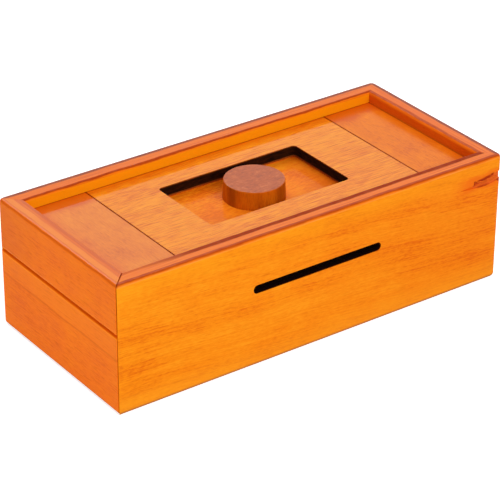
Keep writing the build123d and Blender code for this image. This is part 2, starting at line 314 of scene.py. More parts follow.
@dataclass
class Place:
    """Where a shaded point is: millimetres in the box's frame, and the surface's direction."""

    point: Socket
    x: Socket
    y: Socket
    z: Socket
    facing_x: Socket
    facing_y: Socket
    facing_z: Socket

    @classmethod
    def read(cls, graph: Graph) -> "Place":
        """Read the point from the object's own coordinates.

        Args:
            graph: The material's graph.

        Returns:
            The point and its direction.
        """
        source = graph.node("ShaderNodeTexCoord", {}, {})
        metres = Socket(graph, source.outputs["Object"])
        point = graph.stretch(metres, even(MM_PER_M), even(0.0))
        parts = graph.node("ShaderNodeSeparateXYZ", {}, {"Vector": point})
        facing = graph.node("ShaderNodeSeparateXYZ", {}, {"Vector": Socket(graph, source.outputs["Normal"])})
        wrapped = [Socket(graph, port) for node in (parts, facing) for port in node.outputs]
        return cls(point, *wrapped)

    def upright(self, fade: Pair = (0.7, 0.4)) -> Socket:
        """1 on faces that stand upright, from 0 on those that lie flat."""
        return abs(self.facing_z).ease(*fade)


@dataclass
class Surface:
    """A surface while its finish is laid: its colour, roughness, relief and weight of lacquer so far."""

    graph: Graph
    place: Place
    colour: Socket
    roughness: Socket
    height: Socket
    lacquer: Operand

    def paint(self, mask: Operand, colour: Socket) -> None:
        """Lay a colour that varies where the mask shows it."""
        self.colour = self.graph.blend(mask, self.colour, colour)

    def tint(self, mask: Operand, tint: Tint, layer: Layer = Layer.COVER) -> None:
        """Lay one tint where the mask shows it."""
        self.colour = self.graph.blend(mask, self.colour, tint.linear, layer)

    def mottle(self, mask: Socket, fine: Socket, dark: Tint, pale: Tint) -> None:
        """Darken the upper half of a fine noise and lighten its lower half, where the mask shows it."""
        self.tint(mask * fine.ease(MIDDLE, 1.0), dark)
        self.tint(mask * fine.ease(MIDDLE, 0.0), pale)

    def roughen(self, amount: Socket) -> None:
        """Make the surface rougher."""
        self.roughness = self.roughness + amount

    def dull(self, mask: Socket) -> None:
        """Take the lacquer away where the mask shows it."""
        self.lacquer = (1.0 - mask) * self.lacquer

    def cloud(self, cloud: Cloud) -> Socket:
        """Noise over the surface, from 0 to 1."""
        return self.graph.noise(self.place.point, cloud)

    def waver(self, cloud: Cloud, reach: float) -> Socket:
        """Noise that swings over reach, half of it each way."""
        return (self.cloud(cloud) - MIDDLE) * reach

    def patchy(self, cloud: Cloud, least: float) -> Socket:
        """Noise from least to 1."""
        return least + (1.0 - least) * self.cloud(cloud)


class GrainAxis(Enum):
    """The way that a board's fibres run."""

    LENGTHWAYS = 0
    CROSSWAYS = 1
    UPRIGHT = 2

    def factors(self, length: float, width: float) -> Triple:
        """Scale that draws round noise out into streaks.

        Args:
            length: The streaks' length along the fibres, in millimetres.
            width: Their width.

        Returns:
            A factor for each axis.
        """
        parts = [1.0 / width] * 3
        parts[self.value] = 1.0 / length
        return tuple(parts)


class Side(Enum):
    """A wall of the box: the way that its board runs, and the sign of its outer face across that way."""

    FRONT = (GrainAxis.LENGTHWAYS, -1)
    REAR = (GrainAxis.LENGTHWAYS, 1)
    LEFT = (GrainAxis.CROSSWAYS, -1)
    RIGHT = (GrainAxis.CROSSWAYS, 1)

    def __init__(self, grain: GrainAxis, sign: int) -> None:
        """Keep the board's way and the sign of its outer face."""
        self.grain = grain
        self.sign = sign

    def inward(self, x: Socket, y: Socket) -> Socket:
        """The part of a place or direction that goes from the wall into the box."""
        across = y if self.grain is GrainAxis.LENGTHWAYS else x
        return across if self.sign < 0 else -across


@dataclass(frozen=True)
class BoxSize:
    """Half sizes and height of the box in millimetres, and the drops between which its rim comes in."""

    half_length: float
    half_width: float
    height: float
    rim_fade: Pair = (1.5, 0.5)

    @classmethod
    def measure(cls) -> "BoxSize":
        """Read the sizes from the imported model."""
        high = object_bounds()[1] * MM_PER_M
        return cls(high.x, high.y, high.z)

    def inward(self, place: Place, side: Side) -> Socket:
        """Distance from a wall's outer face into the box, in millimetres."""
        half = self.half_width if side.grain is GrainAxis.LENGTHWAYS else self.half_length
        return side.inward(place.x, place.y) + half

    def below_top(self, place: Place, fade: Pair) -> Socket:
        """Rise from 0 to 1 between two drops below the top of the walls."""
        return place.z.ease(self.height - fade[0], self.height - fade[1])

    def on_rim(self, place: Place) -> Socket:
        """1 on the upper faces of the walls."""
        return self.below_top(place, self.rim_fade)


class Accent(Protocol):
    """Something laid over a board's plain finish."""

    def lay(self, surface: Surface) -> None:
        """Change the surface where the accent shows."""


@dataclass(frozen=True)
class RimLine:
    """A soft line along a rim, at a distance from the wall's outer face.

    Matt is the share of the lacquer that the line takes away, and rise gives the places along X between
    which the line comes in.
    """

    offset: float
    half_width: float
    strength: float
    tint: Tint
    matt: float = 1.0
    rise: Pair | None = None
    core: float = 0.5
    waver_scale: float = 0.09
    waver_reach: float = 0.5
    patch_scale: float = 0.22
    patch_least: float = 0.8

    def mask(self, surface: Surface, across: Socket) -> Socket:
        """Find where the line runs.

        Args:
            surface: The wall's surface so far.
            across: Distance from the wall's outer face.

        Returns:
            A value from 0 to the line's strength.
        """
        shift = even(self.offset)
        waver = surface.waver(Cloud(even(self.waver_scale), shift, 3.0), self.waver_reach)
        band = (across + waver).near(self.offset, self.half_width, self.core)
        mask = band * surface.patchy(Cloud(even(self.patch_scale), shift), self.patch_least) * self.strength
        return mask * surface.place.x.ease(*self.rise) if self.rise else mask


@dataclass(frozen=True)
class Rim:
    """The lacquered upper face of a wall: a redder stain, soft lines along it, and gloss."""

    box: BoxSize
    side: Side
    stain: Tint
    lines: Sequence[RimLine]
    lacquer: float = 0.55
    streaks: float = 0.45
    cover: float = 0.85
    streak_size: Pair = (22.0, 0.7)
    streak_shift: Triple = (3.0, 8.0, 5.0)
    level: Pair = (0.9, 0.99)

    def lay(self, surface: Surface) -> None:
        """Stain, streak and line the rim, and lacquer what faces straight up between its lines.

        Args:
            surface: The wall's surface so far.
        """
        place = surface.place
        across = self.box.inward(place, self.side)
        on_top = self.box.on_rim(place)
        surface.tint(on_top * self.cover, self.stain)
        fine = Cloud(self.side.grain.factors(*self.streak_size), self.streak_shift, 4.0)
        surface.mottle(on_top * self.streaks, surface.cloud(fine), RIM_STREAK, RIM_PALE)
        bare: Operand = 0.0
        for line in self.lines:
            mask = line.mask(surface, across) * on_top
            surface.tint(mask, line.tint)
            bare = (mask * line.matt).larger(bare)
        surface.lacquer = place.facing_z.ease(*self.level) * (1.0 - bare) * self.lacquer


@dataclass(frozen=True)
class MitreStain:
    """Dark stain that has soaked into the open mitre at the rim's front left corner."""

    box: BoxSize
    half_width: float = 0.6
    core: float = 0.4
    depth: float = 9.0
    outer_share: float = 0.4
    strength: float = 0.9
    stain: Tint = Tint(150, 28, 6)

    def lay(self, surface: Surface) -> None:
        """Darken both sides of the joint, more towards its inner end.

        Args:
            surface: The wall's surface so far.
        """
        front = self.box.inward(surface.place, Side.FRONT)
        left = self.box.inward(surface.place, Side.LEFT)
        joint = (front - left).near(0.0, self.half_width, self.core) * self.box.on_rim(surface.place)
        growth = front / self.depth * (1.0 - self.outer_share) + self.outer_share
        mask = joint * growth * self.strength
        surface.tint(mask, self.stain)
        surface.dull(mask)


@dataclass(frozen=True)
class PaintedEdgeHighlight:
    """A thin painted highlight along the upper outer edge of a wall, where its rounding catches the light,
    and some wear there.
    """

    box: BoxSize
    side: Side
    drop: float = 0.95
    half_width: float = 0.6
    fade: Pair = (1.4, 0.5)
    strength: float = 0.65
    worn: Tint = Tint(255, 174, 88)
    highlight_patches: Cloud = Cloud(even(0.07), (9.0, 2.0, 4.0), 3.0)
    least: float = 0.4

    def lay(self, surface: Surface) -> None:
        """Paint the highlight along the edge, unevenly along its length.

        Args:
            surface: The wall's surface so far.
        """
        outside = self.box.inward(surface.place, self.side).ease(*self.fade)
        band = surface.place.z.near(self.box.height - self.drop, self.half_width)
        surface.tint(outside * band * surface.patchy(self.highlight_patches, self.least) * self.strength, self.worn)


@dataclass(frozen=True)
class EndGrain:
    """Open fibre ends on the faces that a cut across the board leaves."""

    axis: GrainAxis
    stain: Tint = Tint(168, 122, 78)
    fade: Pair = (0.75, 0.95)
    speckle: Cloud = Cloud(even(2.6), (5.0, 3.0, 1.0), 3.0)
    cover: float = 0.35
    contrast: float = 0.5
    relief: float = 0.4
    roughness: float = 0.15

    def lay(self, surface: Surface) -> None:
        """Darken and speckle the faces that look along the fibres.

        Args:
            surface: The board's surface so far.
        """
        place = surface.place
        facing = (place.facing_x, place.facing_y, place.facing_z)[self.axis.value]
        mask = abs(facing).ease(*self.fade)
        speckle = surface.cloud(self.speckle)
        surface.tint(mask * (self.cover + self.contrast * speckle), self.stain)
        surface.height = surface.height - mask * speckle * self.relief
        surface.roughen(mask * self.roughness)


@dataclass(frozen=True)
class ShadedCorner:
    """A painted shade line down the upright outer edge where two sides of the box meet and the rounded corner
    turns from the light.
    """

    box: BoxSize
    side: Side
    end: Side
    reach: float = 1.6
    core: float = 0.3
    rim_fade: Pair = (0.8, 2.0)
    strength: float = 0.65
    painted_shade: Tint = Tint(176, 78, 16)

    def lay(self, surface: Surface) -> None:
        """Paint shade where the one side turns into the other, below the rim.

        Args:
            surface: The board's surface so far.
        """
        mask = self.box.below_top(surface.place, self.rim_fade) * self.strength
        for side in (self.end, self.side):
            mask = mask * self.box.inward(surface.place, side).ease(self.reach, self.reach * self.core)
        surface.tint(mask, self.painted_shade)


@dataclass(frozen=True)
class PaleFootShadedEdge:
    """Lighter, yellower colour near the foot of a wall, and a painted shade line along its lower edge."""

    fade: Pair = (13.0, 2.0)
    lift: float = 0.45
    edge: float = 2.3
    core: float = 0.3
    strength: float = 0.8
    foot_tint: Tint = Tint(255, 168, 34)
    painted_shade: Tint = Tint(164, 94, 51)

    def lay(self, surface: Surface) -> None:
        """Lighten the colour towards the foot and paint shade along the edge itself."""
        surface.tint(surface.place.z.ease(*self.fade) * self.lift, self.foot_tint)
        surface.tint(surface.place.z.ease(self.edge, self.edge * self.core) * self.strength, self.painted_shade)


@dataclass(frozen=True)
class InnerLightAndShade:
    """Painted light and shade on the inner face of a wall, above the recessed boards, in the colour that
    stain holds.
    """

    side: Side
    stain: Tint
    strength: float
    fade: Pair = (0.3, 0.8)

    def lay(self, surface: Surface) -> None:
        """Tint the faces that look into the box."""
        facing = self.side.inward(surface.place.facing_x, surface.place.facing_y)
        surface.tint(facing.ease(*self.fade) * self.strength, self.stain)


@dataclass(frozen=True)
class BurntSlot:
    """Scorched walls of the slot in the front: brown at its mouth, black inside."""

    box: BoxSize
    middle: float
    half_length: float
    half_height: float
    fringe: Pair = (0.3, 0.1)
    mouth: Pair = (0.02, 0.2)
    inside: Pair = (0.15, 0.9)
    char: Tint = Tint(20, 4, 3)
    scorch: Tint = Tint(112, 38, 4)
    roughness: float = 0.3

    def lay(self, surface: Surface) -> None:
        """Char what lies inside the slot's outline, below the front face.

        Args:
            surface: The front wall's surface so far.
        """
        place = surface.place
        depth = self.box.inward(place, Side.FRONT)
        outline = place.z.within(self.middle, self.half_height, self.fringe)
        outline = outline * place.x.within(0.0, self.half_length, self.fringe)
        mouth = outline * depth.ease(*self.mouth)
        surface.tint(mouth, self.scorch)
        surface.tint(outline * depth.ease(*self.inside), self.char)
        surface.roughen(mouth * self.roughness)


@dataclass(frozen=True)
class BurntWindow:
    """Scorched walls of the window in the middle top board: black, with brown edges."""

    low: Vector
    high: Vector
    top: float
    bottom: float
    fringe: Pair = (2.0, 1.0)
    upper_edge: float = 0.8
    lower_edge: float = 1.1
    fibres: Cloud = Cloud((0.25, 0.25, 1.4), (2.0, 7.0, 4.0), 3.0)
    fibre_glow: float = 0.06
    edge_cover: float = 0.5
    edge_contrast: float = 0.4
    char: Tint = Tint(14, 3, 2)
    scorch: Tint = Tint(186, 96, 30)
    roughness: float = 0.35

    def lay(self, surface: Surface) -> None:
        """Char the upright faces around the window, with paler marks along the fibres.

        Args:
            surface: The board's surface so far.
        """
        place = surface.place
        middle = (self.low + self.high) / 2
        reach = (self.high - self.low) / 2
        mask = place.upright() * place.x.within(middle.x, reach.x, self.fringe)
        mask = mask * place.y.within(middle.y, reach.y, self.fringe)
        streak = surface.cloud(self.fibres)
        upper = place.z.ease(self.top - self.upper_edge, self.top)
        lower = place.z.ease(self.bottom + self.lower_edge, self.bottom)
        brown = upper.larger(lower) * (self.edge_cover + self.edge_contrast * streak)
        brown = (streak * self.fibre_glow).larger(brown)
        surface.paint(mask, surface.graph.blend(brown, self.char.linear, self.scorch.linear))
        surface.roughen(mask * self.roughness)
        surface.dull(mask)


@dataclass(frozen=True)
class PanelShadeAndReflection:
    """Painted shadow and reflection of the walls on a top board along their foot, with painted shade darkest
    in the joint itself, in the joint tint.
    """

    box: BoxSize
    sides: Sequence[Side]
    wall: float
    strength: float = 0.55
    full: float = 1.0
    reach: float = 10.0
    ragged: Cloud = Cloud(even(0.11), (2.0, 9.0, 5.0), 3.0)
    ragged_share: float = 0.35
    joint_shade_fade: Pair = (1.3, 0.2)
    joint_shade_strength: float = 0.6
    sawn_strength: float = 0.9
    painted_shadow: Tint = Tint(216, 88, 3)
    joint: Tint = Tint(150, 56, 3)
    sawn: Tint = Tint(226, 64, 6)

    def lay(self, surface: Surface) -> None:
        """Paint shadow and reflection deepening towards each wall and shade in the joint, and redden the
        board's sawn edges.

        Args:
            surface: The board's surface so far.
        """
        ragged = surface.waver(self.ragged, self.ragged_share * self.reach)
        for side in self.sides:
            out = self.box.inward(surface.place, side) - self.wall
            surface.tint((out + ragged).ease(self.reach, self.full) * self.strength, self.painted_shadow)
            surface.tint(out.ease(*self.joint_shade_fade) * self.joint_shade_strength, self.joint)
        surface.tint(surface.place.upright() * self.sawn_strength, self.sawn)


@dataclass(frozen=True)
class SeamEdge:
    """Stain that has run into the seam between two top boards and darkened its edges."""

    x: float
    reach: float = 0.5
    core: float = 0.3
    strength: float = 0.4
    stain: Tint = Tint(132, 36, 4)
    patches: Cloud = Cloud(even(0.12), (7.0, 3.0, 1.0))
    least: float = 0.6

    def lay(self, surface: Surface) -> None:
        """Darken the board beside the seam, unevenly along it.

        Args:
            surface: The board's surface so far.
        """
        seam = surface.place.x.near(self.x, self.reach, self.core)
        mask = seam * surface.patchy(self.patches, self.least) * self.strength
        surface.tint(mask, self.stain)
        surface.dull(mask)


@dataclass(frozen=True)
class FlankShade:
    """A broad darker stripe up the side of a turned piece: painted shade on a flank that turns away from the
    light, in the colour that stain holds.
    """

    x: float
    y: float
    half_width: float
    strength: float
    core: float = 0.2
    fade: Pair = (0.8, 0.4)
    stain: Tint = Tint(132, 46, 2)

    def lay(self, surface: Surface) -> None:
        """Paint shade near the stripe's line, on the sides alone.

        Args:
            surface: The piece's surface so far.
        """
        place = surface.place
        mask = place.upright(self.fade) * self.strength
        for along, middle in ((place.x, self.x), (place.y, self.y)):
            mask = mask * along.near(middle, self.half_width, self.core)
        surface.tint(mask, self.stain)


@dataclass(frozen=True)
class ShadedPit:
    """Painted shade in a hollow of the torn patch: its middle and half sizes along and up the front, and its
    slope.
    """

    x: float
    z: float
    half_length: float
    half_height: float
    strength: float = 0.9
    slope: float = 0.0
    end_core: float = 0.4
    core: float = 0.3

    def mask(self, place: Place, ragged: Socket) -> Socket:
        """Find where the hollow is.

        Args:
            place: The shaded point.
            ragged: How far its edge wavers there.

        Returns:
            A value from 0 to the hollow's strength.
        """
        along = place.x - self.x
        level = place.z + ragged - along * self.slope
        ends = abs(along).ease(self.half_length, self.half_length * self.end_core)
        return ends * level.near(self.z, self.half_height, self.core) * self.strength


@dataclass(frozen=True)
class TornPatch:
    """Bare torn wood in the shallow chip at the right end of the front.

    Left, low and high are the chip's edges, and past step it is torn deeper, into bare wood.
    """

    box: BoxSize
    left: float = 80.0
    step: float = 88.6
    low: float = 50.2
    high: float = 55.8
    skin: Pair = (1.4, 1.0)
    floor: Pair = (0.06, 0.25)
    end_edge: float = 0.5
    long_edge: float = 0.4
    step_fade: Pair = (-1.5, 0.5)
    halo_start: Pair = (-5.0, 7.0)
    halo_height: Pair = (5.2, 2.4)
    halo_strength: float = 0.8
    halo_cloud: Cloud = Cloud((0.16, 0.3, 0.3), (4.0, 1.0, 6.0), 3.0)
    halo_waver: float = 2.0
    grain: Cloud = Cloud((0.2, 1.5, 1.5), (1.0, 5.0, 9.0), 4.0)
    grain_span: Pair = (0.4, 0.95)
    grain_strength: float = 0.8
    pit_waver: float = 0.4
    relief: float = 1.5
    roughness: float = 0.3
    shaded_pits: Sequence[ShadedPit] = (
        ShadedPit(88.9, 53.0, 0.9, 1.6),
        ShadedPit(94.4, 53.8, 6.6, 1.5, 0.9, 0.17),
        ShadedPit(99.4, 54.9, 1.3, 1.0),
        ShadedPit(94.0, 50.6, 4.6, 0.6, 0.4),
        ShadedPit(103.4, 50.9, 1.4, 0.6),
    )
    halo: Tint = Tint(238, 104, 12)
    stained: Tint = Tint(232, 102, 12)
    torn: Tint = Tint(228, 100, 34)
    fibre: Tint = Tint(206, 76, 16)
    hollow_shade: Tint = Tint(156, 30, 2)

    def lay(self, surface: Surface) -> None:
        """Redden what lies below the front face within the chip, and paint shade into its pits.

        Args:
            surface: The wall's surface so far.
        """
        place, graph = surface.place, surface.graph
        depth = self.box.inward(place, Side.FRONT)
        outer = depth.ease(*self.skin)
        self._lay_halo(surface, outer)
        within = place.x.ease(self.left - self.end_edge, self.left) * outer
        within = within * place.z.ease(self.low - self.long_edge, self.low)
        within = within * place.z.ease(self.high + self.long_edge, self.high)
        mask = within * depth.ease(*self.floor)
        grain = surface.cloud(self.grain)
        fibres = grain.ease(*self.grain_span) * self.grain_strength
        bare = graph.blend(fibres, self.torn.linear, self.fibre.linear)
        start, full = self.step_fade
        stepped = place.x.ease(self.step + start, self.step + full)
        surface.paint(mask, graph.blend(stepped, self.stained.linear, bare))
        ragged = (grain - MIDDLE) * self.pit_waver
        for pit in self.shaded_pits:
            surface.tint(pit.mask(place, ragged) * outer, self.hollow_shade)
        surface.height = surface.height - mask * grain * self.relief
        surface.roughen(mask * self.roughness)

    def _lay_halo(self, surface: Surface, outer: Socket) -> None:
        """Redden the stain around the chip.

        Args:
            surface: The wall's surface so far.
            outer: 1 near the front face.
        """
        place = surface.place
        start, full = self.halo_start
        waver = surface.waver(self.halo_cloud, self.halo_waver)
        height = abs(place.z - (self.low + self.high) / 2 + waver).ease(*self.halo_height)
        along = place.x.ease(self.left + start, self.left + full)
        surface.tint(along * height * outer * self.halo_strength, self.halo)


@dataclass(frozen=True)
class SeamPaintedLight:
    """Painted light on the shaded rounding where an end board meets the seam, in the colour that stain holds:
    rise is how far from its edge it starts.
    """

    edge: float
    rise: float
    full: float = 0.4
    strength: float = 0.8
    stain: Tint = Tint(255, 140, 20)

    def lay(self, surface: Surface) -> None:
        """Paint light onto the rounded edge, most at its lower end."""
        low = surface.place.z.ease(self.edge + self.rise, self.edge + self.full * self.rise)
        surface.tint(low * self.strength, self.stain)


@dataclass(frozen=True)
class GlueLine:
    """A faint line along the drawer's face, with slightly lighter wood above it."""

    z: float
    half_width: float = 0.8
    strength: float = 0.4
    line: Tint = Tint(206, 84, 8)
    above_fade: float = 1.0
    above_strength: float = 0.3
    above: Tint = Tint(250, 134, 36)
    wander: Cloud = Cloud(even(0.05), (6.0, 1.0, 2.0))
    wander_reach: float = 0.8

    def lay(self, surface: Surface) -> None:
        """Draw the line with the board's own slight waver.

        Args:
            surface: The drawer's face so far.
        """
        height = surface.place.z + surface.waver(self.wander, self.wander_reach)
        surface.tint(height.ease(self.z, self.z + self.above_fade) * self.above_strength, self.above)
        surface.tint(height.near(self.z, self.half_width) * self.strength, self.line)


@dataclass(frozen=True)
class LacqueredTop:
    """Lacquer on what faces up, over a browner, mottled stain that the cut fibres took."""

    level: Pair = (0.5, 0.95)
    cover: float = 0.85
    mottling: float = 0.55
    lacquer: float = 0.75
    fine: Cloud = Cloud((0.45, 0.7, 0.6), (4.0, 4.0, 4.0), 4.0, 0.65)
    stain: Tint = Tint(184, 82, 24)
    pale: Tint = Tint(222, 122, 58)
    dark: Tint = Tint(134, 48, 10)

    def lay(self, surface: Surface) -> None:
        """Brown and lacquer the upper face.

        Args:
            surface: The piece's surface so far.
        """
        top = surface.place.facing_z.ease(*self.level)
        surface.tint(top * self.cover, self.stain)
        surface.mottle(top * self.mottling, surface.cloud(self.fine), self.dark, self.pale)
        surface.lacquer = top * self.lacquer


@dataclass(frozen=True)
class Drift:
    """A slow change of colour across a board, from one point to another."""

    start: Triple
    end: Triple
    stain: Tint
    strength: float
    layer: Layer = Layer.COVER

    def lay(self, surface: Surface) -> None:
        """Tint the surface more the nearer it is to the end point.

        Args:
            surface: The board's surface so far.
        """
        place = surface.place
        span = Vector(self.end) - Vector(self.start)
        factors = span / span.length_squared
        along = place.x * factors.x + place.y * factors.y + place.z * factors.z
        share = along - factors.dot(Vector(self.start))
        surface.tint(share.ease(0.0, 1.0) * self.strength, self.stain, self.layer)


@dataclass(frozen=True)
class Wood:
    """A stained or plain board: its tones, the figure of its grain and its sheen.

    A size is a mark's length along the fibres and its width, in millimetres. Tilt is how far the fibres fall
    towards +X, in degrees, and the seed shifts the grain, so that no two boards match.
    """

    name: str
    tones: Tones
    axis: GrainAxis
    seed: float
    figure: float = 1.0
    blotch: float = 0.35
    fleck: float = 0.35
    pores: float = 0.35
    roughness: float = 0.5
    specular: float = 0.04
    lacquer: float = 0.0
    gloss: float = 0.08
    tilt: float = 0.0
    band_size: Pair = (150.0, 8.0)
    streak_size: Pair = (24.0, 0.8)
    fleck_size: Pair = (3.0, 0.5)
    pore_size: Pair = (8.0, 0.45)
    wave_size: Pair = (70.0, 30.0)
    wave_reach: float = 5.0
    blotch_scale: float = 0.045
    band_share: float = 0.4
    streak_share: float = 0.5
    pore_span: Pair = (0.66, 0.98)
    dark_span: Pair = (0.0, 0.55)
    light_span: Pair = (0.45, 1.0)
    streak_roughness: float = 0.1
    blotch_roughness: float = 0.12
    pore_roughness: float = 0.1
    streak_relief: float = 0.5
    pore_relief: float = 0.6
    relief: float = 0.25
    relief_depth: float = 0.00012

    def make(self, accents: Sequence[Accent] = ()) -> bpy.types.Material:
        """Build the material.

        Args:
            accents: What is laid over the plain board, in order.

        Returns:
            The finished material.
        """
        material, graph = start_material(self.name)
        surface = self._lay_board(graph, Place.read(graph))
        for accent in accents:
            accent.lay(surface)
        self._shade(surface)
        return material

    @property
    def _shift(self) -> Triple:
        """Where the board's noise starts."""
        return tuple(self.seed * share for share in SEED_SPREAD)

    def _marks(self, size: Pair, detail: float = 2.0, roughness: float = 0.5) -> Cloud:
        """Noise drawn out along the fibres."""
        return Cloud(self.axis.factors(*size), self._shift, detail, roughness)

    def _bend(self, graph: Graph, place: Place) -> Socket:
        """Tilt the fibres and let them wave.

        Args:
            graph: The material's graph.
            place: The shaded point.

        Returns:
            The point at which the grain is read.
        """
        angle = {"Vector": place.point, "Angle": math.radians(-self.tilt)}
        level = graph.output("ShaderNodeVectorRotate", {"rotation_type": "Y_AXIS"}, angle)
        wave_at = graph.stretch(level, self.axis.factors(*self.wave_size), self._shift)
        inputs = {"Vector": wave_at, "Scale": 1.0, "Detail": 1.0}
        wave = graph.output("ShaderNodeTexNoise", {}, inputs, port="Color")
        return graph.stretch(wave, even(self.wave_reach), level)

    def _lay_board(self, graph: Graph, place: Place) -> Surface:
        """Lay the stain and the figure of the grain.

        Args:
            graph: The material's graph.
            place: The shaded point.

        Returns:
            The plain board's surface.
        """
        bent = self._bend(graph, place)
        band = graph.noise(bent, self._marks(self.band_size)) - MIDDLE
        streak = graph.noise(bent, self._marks(self.streak_size, detail=3.0, roughness=0.6))
        fleck = graph.noise(bent, self._marks(self.fleck_size, roughness=0.6)) - MIDDLE
        pore = graph.noise(bent, self._marks(self.pore_size, detail=1.0)).ease(*self.pore_span)
        patches = Cloud(even(self.blotch_scale), self._shift, detail=4.0, roughness=0.6)
        blotch = graph.noise(place.point, patches) - MIDDLE
        figure = self.band_share * band + self.streak_share * (streak - MIDDLE)
        tone = MIDDLE + (self.figure * figure + self.fleck * fleck) + self.blotch * blotch
        colour = graph.blend(tone.ease(*self.dark_span), self.tones.dark.linear, self.tones.middle.linear)
        colour = graph.blend(tone.ease(*self.light_span), colour, self.tones.light.linear)
        colour = graph.blend(pore * self.pores, colour, self.tones.pore.linear)
        roughness = self.roughness + self.streak_roughness * (streak - MIDDLE)
        roughness = roughness + self.blotch_roughness * blotch + self.pore_roughness * pore
        height = self.streak_relief * streak - self.pore_relief * pore
        return Surface(graph, place, colour, roughness, height, self.lacquer)

    def _shade(self, surface: Surface) -> None:
        """Send the surface to the shader.

        Args:
            surface: The finished surface.
        """
        graph = surface.graph
        inputs = {
            "Base Color": surface.colour,
            "Roughness": surface.roughness,
            "Normal": graph.bump(surface.height, self.relief, self.relief_depth),
            "Specular IOR Level": self.specular,
            "Coat Weight": surface.lacquer,
            "Coat Roughness": self.gloss,
        }
        shader = graph.output("ShaderNodeBsdfPrincipled", {}, inputs)
        graph.node("ShaderNodeOutputMaterial", {}, {"Surface": shader})


@dataclass(frozen=True)
class PlatedSteel:
    """Zinc-plated steel with faint turning marks."""

    name: str
    bright: Tint = Tint(196, 194, 188)
    dull: Tint = Tint(150, 150, 146)
    dull_share: float = 0.5
    cloud: Cloud = Cloud(even(0.9), even(0.0), 4.0)
    rings: Cloud = Cloud((0.6, 0.6, 9.0), even(0.0))
    relief: float = 0.2
    relief_depth: float = 0.00005
    roughness: float = 0.28
    cloud_roughness: float = 0.2

    def make(self) -> bpy.types.Material:
        """Build the material.

        Returns:
            The finished material.
        """
        material, graph = start_material(self.name)
        point = Place.read(graph).point
        cloud = graph.noise(point, self.cloud)
        inputs = {
            "Base Color": graph.blend(cloud * self.dull_share, self.bright.linear, self.dull.linear),
            "Metallic": 1.0,
            "Roughness": self.roughness + self.cloud_roughness * cloud,
            "Normal": graph.bump(graph.noise(point, self.rings), self.relief, self.relief_depth),
        }
        shader = graph.output("ShaderNodeBsdfPrincipled", {}, inputs)
        graph.node("ShaderNodeOutputMaterial", {}, {"Surface": shader})
        return material


def dress(node: str, material: bpy.types.Material) -> None:
    """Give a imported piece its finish.

    Args:
        node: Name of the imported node.
        material: The finish.
    """
    for slot in frame["nodes"][node].material_slots:
        slot.material = material
    log.info("%s wears %s", node, material.name)


def dress_plain(node: str, name: str, axis: GrainAxis, seed: float) -> None:
    """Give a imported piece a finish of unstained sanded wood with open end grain."""
    wood = Wood(name, PLAIN_TONES, axis, seed, roughness=0.62, specular=0.25, streak_size=(46.0, 0.8))
    dress(node, wood.make([EndGrain(axis)]))


def long_wall(name: str, seed: float, tilt: float = 0.0) -> Wood:
    """The bright orange stain of the front and rear walls.

    Args:
        name: The material's name.
        seed: Shifts the grain, so that no two boards match.
        tilt: How far the fibres fall towards +X, in degrees.

    Returns:
        The finish.
    """
    return Wood(
        name,
        LONG_WALL_TONES,
        GrainAxis.LENGTHWAYS,
        seed,
        figure=1.1,
        blotch=0.25,
        fleck=0.45,
        pores=0.15,
        tilt=tilt,
        streak_size=(42.0, 0.6),
        fleck_size=(2.5, 0.7),
    )


def end_wall(name: str, seed: float) -> Wood:
    """The duller stain of the end walls."""
    return Wood(name, END_WALL_TONES, GrainAxis.CROSSWAYS, seed, figure=0.6)


def opening(name: str) -> tuple[Vector, Vector]:
    """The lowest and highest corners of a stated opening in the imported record, in millimetres."""
    box = next(box["box_m"] for box in frame["record"]["physics"]["openings"] if box["name"] == name)
    return tuple(Vector(corner) * MM_PER_M for corner in box)


